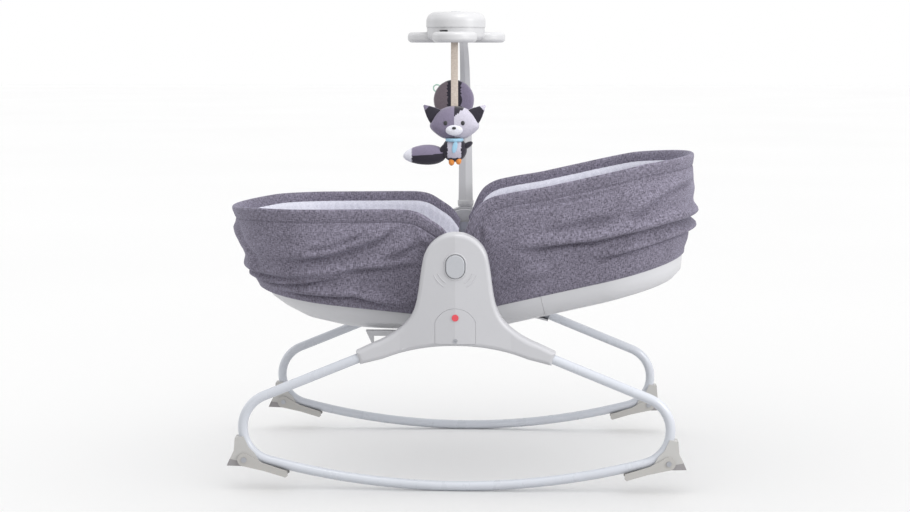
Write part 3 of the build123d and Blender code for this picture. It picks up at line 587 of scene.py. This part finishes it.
lining_cloth = cloth_material("lining_jersey", (0.50, 0.50, 0.57), (0.66, 0.66, 0.73), 0.15,
                              thread=1.3)
for name, body, way, tilt, rim, lip, seed, cut, support in (
    ("foot_lining", "base", -1, 0.0, FOOT_RIM, FOOT_LIP, 31.0, (1.0, 0.16),
     "foot_rim_wire"),
    ("back_lining", "backrest", 1, RECLINE, BACK_RIM, BACK_LIP, 43.0, (1.0, 0.16),
     "back_rim_wire"),
):
    lining = wall_sheet(name, way, tilt, rim, lip, lining_section(), gathered(seed))
    only(lining)
    bpy.ops.object.mode_set(mode="EDIT")
    bpy.ops.mesh.select_all(action="SELECT")
    if way < 0:
        bpy.ops.mesh.flip_normals()
    bpy.ops.object.mode_set(mode="OBJECT")
    thicken(lining, 0.0015)
    lining.data.materials.append(lining_cloth)
    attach(lining, body)

GUSSET_HALF = 0.048
for side, sign in (("left", -1), ("right", 1)):
    gusset = begin(bpy.ops.mesh.primitive_grid_add, x_subdivisions=40, y_subdivisions=40,
                   size=2 * GUSSET_HALF, location=(0.004, sign * 0.1675, PIVOT.z - 0.028),
                   rotation=(math.radians(90), 0, 0))
    gusset.name = side + "_hinge_gusset"
    settle(gusset)
    for v in gusset.data.vertices:
        dip = 1 - (v.co.x / GUSSET_HALF) ** 2
        v.co.z -= 0.012 * max(dip, 0) * max(0, (v.co.z - PIVOT.z) / 0.02)
        v.co.y -= sign * 0.003 * math.sin(v.co.x * 150 + v.co.z * 40)
    thicken(gusset, 0.0015, offset=0)
    gusset.data.materials.append(lining_cloth)
    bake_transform(gusset)

# ---- Seat pads and head cushion -------------------------------------------------------
# Foam pads in a pale jersey lie on the boards, sewn across in channels. A crescent
# cushion filled with fibre holds the baby's head.
VOXEL = 0.005
FRAMES = 20


def stuffed(name, node, body, slim, pressure, cap):
    """A soft piece grown from the slimmed CAD solid by a pressure simulation."""
    piece = bpy.data.objects.new(name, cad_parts[node].data.copy())
    bpy.context.scene.collection.objects.link(piece)
    only(piece)
    bpy.ops.object.mode_set(mode="EDIT")
    bpy.ops.mesh.select_all(action="SELECT")
    bpy.ops.mesh.remove_doubles(threshold=0.0001)
    bpy.ops.transform.shrink_fatten(value=-slim)
    bpy.ops.object.mode_set(mode="OBJECT")
    piece.data.remesh_voxel_size = VOXEL
    bpy.ops.object.voxel_remesh()
    before = np.zeros(len(piece.data.vertices) * 3)
    piece.data.vertices.foreach_get("co", before)
    soft = piece.modifiers.new("stuffing", "CLOTH")
    soft.settings.quality = 5
    soft.settings.mass = 0.3
    soft.settings.tension_stiffness = 15
    soft.settings.compression_stiffness = 15
    soft.settings.bending_stiffness = 0.5
    soft.settings.use_pressure = True
    soft.settings.uniform_pressure_force = pressure
    soft.settings.effector_weights.gravity = 0
    for step in range(1, FRAMES + 1):
        bpy.context.scene.frame_set(step)
    only(piece)
    bpy.ops.object.modifier_apply(modifier="stuffing")
    bpy.context.scene.frame_set(1)
    after = np.zeros(len(before))
    piece.data.vertices.foreach_get("co", after)
    moved = (after - before).reshape(-1, 3)
    far = np.linalg.norm(moved, axis=1)
    moved *= np.minimum(1, cap / np.maximum(far, 1e-9))[:, None]
    piece.data.vertices.foreach_set("co", before + moved.ravel())
    only(piece)
    finer = piece.modifiers.new("finer", "SUBSURF")
    finer.levels = finer.render_levels = 1
    bpy.ops.object.modifier_apply(modifier="finer")
    bpy.ops.object.shade_smooth()
    piece.data.materials.clear()
    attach(piece, body)
    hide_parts(node)
    return piece


def channels(piece, places, slope, depth, width=0.006):
    """Sewn channels across the upper face: the thread pulls the foam down in a line."""
    turned = math.tan(slope)
    spots = np.array([v.co for v in piece.data.vertices])
    facing = np.array([v.normal.z for v in piece.data.vertices])
    near = np.min([abs(spots[:, 0] - at) for at in places], axis=0)
    pull = depth * np.exp(-((near / width) ** 2)) * np.clip(facing * 4 - 1, 0, 1)
    spots[:, 2] -= pull
    spots[:, 0] += pull * turned
    piece.data.vertices.foreach_set("co", spots.ravel())
    piece.data.update()


def padded_cloth(name, dark, light):
    """Jersey over foam, read from the piece's own place because a remesh has no seams."""
    material, shader, place = new_material(name)
    spot = place.outputs["Object"]
    knit = mottle(material, spot, 900, detail=3, rough=0.7)
    link(material, between(material, knit, dark, light, 0.3, 0.7), shader.inputs["Base Color"])
    soft = mottle(material, spot, 45, detail=3)
    link(material, relief(material, knit, 0.0004, 0.6, relief(material, soft, 0.001, 0.4)),
         shader.inputs["Normal"])
    link(material, spread(material, soft, 0.8, 0.95), shader.inputs["Roughness"])
    shader.inputs["Specular IOR Level"].default_value = 0.2
    shader.inputs["Sheen Weight"].default_value = 0.2
    return material


pad_cloth = padded_cloth("pad_jersey", (0.48, 0.48, 0.55), (0.64, 0.64, 0.71))
foot_pad = stuffed("foot_seat_pad", "foot_pad", "base", 0.004, 4, 0.006)
channels(foot_pad, (-0.09, -0.165, -0.24), 0.1, 0.004)
back_pad = stuffed("back_seat_pad", "back_pad", "backrest", 0.004, 4, 0.006)
channels(back_pad, (0.08, 0.155, 0.23), -0.23, 0.004)
head_cushion = stuffed("crescent_head_cushion", "head_cushion", "backrest", 0.004, 5, 0.008)
for soft_piece in (foot_pad, back_pad, head_cushion):
    soft_piece.data.materials.append(pad_cloth)

# ---- Harness ---------------------------------------------------------------------------
# Woven webbing lies on the foot pad: a crotch strap and two waist straps meet at the buckle
# and are stitched down under the pad's edge.
SLOPE = math.radians(6)
straps_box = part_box("harness_straps")


def webbing_material(name, dark, light, ribs):
    """Ribbed narrow weave read from the strap's own length and width."""
    material, shader, place = new_material(name)
    flat = place.outputs["UV"]
    wave = material.node_tree.nodes.new("ShaderNodeTexWave")
    wave.bands_direction = "X"
    wave.inputs["Scale"].default_value = ribs
    wave.inputs["Distortion"].default_value = 0.6
    link(material, flat, wave.inputs["Vector"])
    yarn = mottle(material, flat, 700, detail=3, rough=0.7, stretch=(1, 0.3, 1))
    link(material, between(material, yarn, dark, light), shader.inputs["Base Color"])
    link(material, relief(material, wave.outputs["Fac"], 0.0003, 0.6,
                          relief(material, yarn, 0.0002, 0.5)), shader.inputs["Normal"])
    link(material, spread(material, yarn, 0.7, 0.9), shader.inputs["Roughness"])
    shader.inputs["Sheen Weight"].default_value = 0.15
    return material


def strap(name, ends, width, thick, material, across, bow=0.0, lie=None):
    """A flat strap between two points, with its width along a direction and a slight bow."""
    first, last = Vector(ends[0]), Vector(ends[1])
    run = last - first
    side = Vector(across).normalized()
    face = run.normalized().cross(side)
    band = begin(bpy.ops.mesh.primitive_grid_add, x_subdivisions=6, y_subdivisions=60, size=1)
    band.name = name
    for v in band.data.vertices:
        share = v.co.y + 0.5
        edge = v.co.x
        lift = bow * math.sin(math.pi * share) - 0.0003 * (2 * edge) ** 4
        v.co = first + run * share + side * edge * width + face * lift
    uv = band.data.uv_layers.active.data
    for loop in uv:
        loop.uv = (loop.uv[1] * run.length, loop.uv[0] * width)
    if lie is not None:
        for v in band.data.vertices:
            v.co.z += lie(v.co)
    thicken(band, thick, offset=0)
    only(band)
    soft_edge = band.modifiers.new("edge", "BEVEL")
    soft_edge.width = thick * 0.3
    soft_edge.segments = 2
    soft_edge.limit_method = "ANGLE"
    bpy.ops.object.modifier_apply(modifier="edge")
    settle(band)
    bpy.ops.object.shade_smooth_by_angle(angle=math.radians(50))
    band.data.materials.append(material)
    return band


webbing = webbing_material("strap_webbing", (0.05, 0.047, 0.06), (0.13, 0.12, 0.15), 260)


def pad_height(x):
    """Height of the strap's middle on the sloping foot pad."""
    level = straps_box[0].z + 0.0011
    return level + (straps_box[1].x - x) * math.sin(SLOPE)


straps = [
    strap("crotch_strap", ((-0.160, 0, pad_height(-0.160)), (-0.1, 0, pad_height(-0.1))),
          0.030, 0.0018, webbing, (0, 1, 0), bow=-0.001),
]
for side, sign in (("left", -1), ("right", 1)):
    near, far = sign * 0.0255, sign * 0.154
    height = pad_height(-0.1)
    straps.append(strap(side + "_waist_strap",
                        ((-0.108, near, height + 0.0015), (-0.108, far, height)), 0.024,
                        0.0018, webbing, (1, 0, -math.tan(SLOPE)), bow=sign * 0.002))
for piece in straps:
    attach(piece, "base")
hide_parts("harness_straps")

# ---- Raised marks on the side covers ----------------------------------------------------
# Two short arcs beside each release button and a bezel ring round it, moulded with the
# cover. They stand a fraction of a millimetre proud of the creased face.
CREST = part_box("left_side_cover")[0].y
FALL = 0.008 / 0.090
ARCS = (0.030, 0.037)


def on_crest(piece, proud):
    """Lays marks drawn on a flat face down on the creased one."""
    for v in piece.data.vertices:
        v.co.y += CREST + FALL * abs(v.co.x) - proud


for side, sign in (("left", 1), ("right", -1)):
    marks = []
    for radius in ARCS:
        ring = begin(bpy.ops.mesh.primitive_torus_add, major_segments=160, minor_segments=10,
                     major_radius=radius, minor_radius=0.0009,
                     location=(0, 0, PIVOT.z), rotation=(math.radians(90), 0, 0))
        settle(ring)
        for keep in (-1, 1):
            arc = ring.copy()
            arc.data = ring.data.copy()
            bpy.context.scene.collection.objects.link(arc)
            pick(arc, lambda at: not (at.x * keep > 0 and 22 < math.degrees(math.atan2(
                PIVOT.z - at.z, at.x * keep)) < 62))
            bpy.ops.mesh.delete(type="VERT")
            bpy.ops.mesh.select_all(action="SELECT")
            bpy.ops.mesh.region_to_loop()
            bpy.ops.mesh.edge_face_add()
            done_editing()
            marks.append(arc)
        bpy.data.objects.remove(ring)
    bezel = begin(bpy.ops.mesh.primitive_torus_add, major_segments=96, minor_segments=12,
                  major_radius=0.0172, minor_radius=0.0013,
                  location=(0, 0, PIVOT.z), rotation=(math.radians(90), 0, 0))
    settle(bezel)
    for v in bezel.data.vertices:
        v.co.z += 0.0041 * (1 if v.co.z > PIVOT.z else -1)
    marks.append(bezel)
    bpy.ops.object.select_all(action="DESELECT")
    for mark in marks:
        mark.select_set(True)
    bpy.context.view_layer.objects.active = bezel
    bpy.ops.object.join()
    bezel.name = side + "_cover_marks"
    on_crest(bezel, -0.0003)
    if sign < 0:
        for v in bezel.data.vertices:
            v.co.y = -v.co.y
    settle(bezel, smooth=60)
    bezel.data.materials.append(cover_plastic)
    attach(bezel, "base")

# ---- Toys on the mobile -----------------------------------------------------------------
# Two stuffed toys hang on flat beige ribbons sewn into the mobile: a fox in two greys with
# a plain stitched face, and a flat round pad in three cloths behind it.
ribbon_weave = webbing_material("ribbon_grosgrain", (0.42, 0.36, 0.31), (0.60, 0.53, 0.47), 330)
for name, node, body, bow in (("fox_hanging_ribbon", "fox_ribbon", "fox", 0.0012),
                              ("round_hanging_ribbon", "round_ribbon", "round_plush", 0.0006)):
    low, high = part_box(node)
    middle = (low + high) / 2
    band = strap(name, ((middle.x, middle.y, high.z), (middle.x, middle.y, low.z - 0.003)),
                 high.x - low.x, 0.0014, ribbon_weave, (1, 0, 0), bow=bow)
    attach(band, body)
    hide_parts(node)


def plush_material(name, colour, nap=0.0012):
    """Short pile: soft clumps over fine fibres, with a velvet edge."""
    material, shader, place = new_material(name)
    spot = place.outputs["Object"]
    fibre = mottle(material, spot, 1300, detail=3, rough=0.75)
    clump = mottle(material, spot, 210, detail=3)
    dark = tuple(c * 0.62 for c in colour)
    light = tuple(min(1, c * 1.22) for c in colour)
    link(material, between(material, fibre, dark, light, 0.25, 0.75),
         shader.inputs["Base Color"])
    link(material, relief(material, clump, nap, 0.5, relief(material, fibre, nap * 0.4, 0.6)),
         shader.inputs["Normal"])
    link(material, spread(material, clump, 0.82, 0.97), shader.inputs["Roughness"])
    shader.inputs["Specular IOR Level"].default_value = 0.15
    shader.inputs["Sheen Weight"].default_value = 0.3
    return material


grey_plush = plush_material("mid_grey_plush", (0.20, 0.175, 0.25))
pale_plush = plush_material("pale_grey_plush", (0.50, 0.48, 0.56))
black_plush = plush_material("charcoal_plush", (0.028, 0.025, 0.036))
white_plush = plush_material("white_plush", (0.68, 0.68, 0.74))
taupe_plush = plush_material("taupe_plush", (0.16, 0.13, 0.15))
orange_felt = plush_material("orange_felt", (0.74, 0.27, 0.06), nap=0.0006)
aqua_felt = plush_material("aqua_felt", (0.33, 0.55, 0.70), nap=0.0006)
mint_tape = plush_material("mint_tape", (0.42, 0.62, 0.52), nap=0.0005)


def form(name, at, radii, colours, lean=0.0, seam=True, flat=1.0, taper=0.0):
    """A stuffed form: a ball drawn out along each axis, with a sewn ridge round its edge."""
    ball = begin(bpy.ops.mesh.primitive_uv_sphere_add, segments=56, ring_count=28, radius=1,
                 rotation=(math.radians(90), 0, 0))
    settle(ball)
    ball.name = name
    cos_lean, sin_lean = math.cos(lean), math.sin(lean)
    for v in ball.data.vertices:
        x, y, z = v.co
        ridge = 1 + (0.035 if seam and abs(y) < 0.06 else 0)
        pinch = 1 - taper * (x + 1) / 2
        x, z = x * ridge * radii[0], z * ridge * radii[2] * pinch
        y = math.copysign(abs(y) ** flat, y) * radii[1] * pinch
        v.co = (at[0] + x * cos_lean + z * sin_lean, at[1] + y,
                at[2] - x * sin_lean + z * cos_lean)
    bpy.ops.object.shade_smooth()
    for colour in colours:
        ball.data.materials.append(colour)
    return ball


def patch(piece, slot_number, test):
    """Faces whose middle passes a test are cut from another cloth."""
    for face in piece.data.polygons:
        if test(face.center):
            face.material_index = slot_number


fox_low, fox_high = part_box("fox_toy")
fox_x = (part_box("fox_ribbon")[0].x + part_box("fox_ribbon")[1].x) / 2
fox_y = (fox_low.y + fox_high.y) / 2
fox_parts = []

head = form("fox_head", (fox_x, fox_y, 0.5945), (0.037, 0.0165, 0.0285),
            (grey_plush, pale_plush, black_plush), flat=0.8)
for v in head.data.vertices:
    cheek = math.exp(-(((v.co.z - 0.588) / 0.010) ** 2))
    v.co.x += (v.co.x - fox_x) * 0.12 * cheek
    v.co.z += 0.0035 * math.exp(-(((v.co.x - fox_x) / 0.012) ** 2)) * (1 if v.co.z < 0.58 else 0)
patch(head, 1, lambda c: c.x > fox_x)
patch(head, 2, lambda c: c.z > 0.606 + abs(c.x - fox_x) * 0.9 and c.x > fox_x)
fox_parts.append(head)
for sign, cloth in ((-1, grey_plush), (1, pale_plush)):
    ear = begin(bpy.ops.mesh.primitive_cone_add, vertices=28, radius1=0.0155, radius2=0.0012,
                depth=0.034, location=(fox_x + sign * 0.040, fox_y, 0.6135),
                rotation=(0, sign * math.radians(47), 0))
    only(ear)
    bpy.ops.object.mode_set(mode="EDIT")
    bpy.ops.mesh.select_all(action="SELECT")
    bpy.ops.mesh.subdivide(number_cuts=3, smoothness=0.3)
    bpy.ops.object.mode_set(mode="OBJECT")
    settle(ear)
    ear.name = ("left" if sign < 0 else "right") + "_fox_ear"
    for v in ear.data.vertices:
        v.co.y = fox_y + (v.co.y - fox_y) * 0.34
    bpy.ops.object.shade_smooth()
    ear.data.materials.append(cloth)
    ear.data.materials.append(black_plush)
    tip = Vector((fox_x + sign * 0.0525, fox_y, 0.625))
    patch(ear, 1, lambda c: c.y < fox_y - 0.001 and (c - tip).length > 0.009)
    fox_parts.append(ear)
muzzle = form("fox_muzzle", (fox_x, fox_y - 0.0150, 0.5835), (0.0145, 0.0048, 0.0092),
              (white_plush,), seam=False)
nose = form("fox_nose", (fox_x, fox_y - 0.0198, 0.5872), (0.0034, 0.0020, 0.0024),
            (dark_plastic,), seam=False)
fox_parts += [muzzle, nose]
for sign in (-1, 1):
    eye = form(("left" if sign < 0 else "right") + "_fox_eye",
               (fox_x + sign * 0.0145, fox_y - 0.0152, 0.5955), (0.0036, 0.0018, 0.0040),
               (dark_plastic,), seam=False)
    fox_parts.append(eye)
body = form("fox_body", (fox_x, fox_y, 0.5500), (0.0205, 0.0125, 0.0205),
            (black_plush, pale_plush))
patch(body, 1, lambda c: c.y < fox_y - 0.004 and abs(c.x - fox_x) < 0.0115
      and 0.536 < c.z < 0.566)
fox_parts.append(body)
scarf = begin(bpy.ops.mesh.primitive_torus_add, major_segments=56, minor_segments=14,
              major_radius=0.0125, minor_radius=0.0030, location=(fox_x, fox_y, 0.5665))
settle(scarf)
scarf.name = "fox_scarf"
bpy.ops.object.shade_smooth()
scarf.data.materials.append(aqua_felt)
scarf_end = form("fox_scarf_end", (fox_x + 0.001, fox_y - 0.0133, 0.555),
                 (0.0042, 0.0012, 0.0105), (aqua_felt,), lean=0.2, seam=False)
tail = form("fox_tail", (fox_x - 0.051, fox_y, 0.5425), (0.0355, 0.0085, 0.0140),
            (grey_plush, black_plush, white_plush), lean=0.08, taper=-0.35)
for v in tail.data.vertices:
    share = (fox_x - 0.015 - v.co.x) / 0.072
    v.co.z -= 0.006 * share ** 2
patch(tail, 1, lambda c: c.z < 0.5435 - (fox_x - 0.015 - c.x) * 0.07)
patch(tail, 2, lambda c: c.x < fox_x - 0.073)
arm = form("fox_raised_arm", (fox_x + 0.0215, fox_y, 0.5570), (0.0105, 0.0055, 0.0048),
           (black_plush,), lean=-0.55)
other_arm = form("fox_lowered_arm", (fox_x - 0.0190, fox_y - 0.002, 0.5520),
                 (0.0105, 0.0055, 0.0048), (black_plush,), lean=-0.9)
fox_parts += [scarf, scarf_end, tail, arm, other_arm]
for side, shift in (("left", -0.005), ("right", 0.007)):
    foot = form(side + "_fox_foot", (fox_x + shift, fox_y - 0.002, 0.5300 + shift * 0.15),
                (0.0050, 0.0058, 0.0068), (orange_felt,), seam=False)
    fox_parts.append(foot)
for part in fox_parts:
    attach(part, "fox")
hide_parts("fox_toy")

round_low, round_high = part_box("round_toy")
disc_at = (round_low + round_high) / 2
disc = form("round_pad_toy", tuple(disc_at), (0.0340, 0.0078, 0.0340),
            (black_plush, taupe_plush, grey_plush), flat=0.45)
patch(disc, 1, lambda c: c.x < disc_at.x - 0.011)
patch(disc, 2, lambda c: c.x > disc_at.x + 0.013)
loop = begin(bpy.ops.mesh.primitive_torus_add, major_segments=40, minor_segments=10,
             major_radius=0.0060, minor_radius=0.0012,
             location=(disc_at.x - 0.0295, disc_at.y, disc_at.z + 0.0205),
             rotation=(math.radians(90), 0, 0))
settle(loop)
loop.name = "round_toy_tab"
bpy.ops.object.shade_smooth()
loop.data.materials.append(mint_tape)
for part in (disc, loop):
    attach(part, "round_plush")
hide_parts("round_toy")
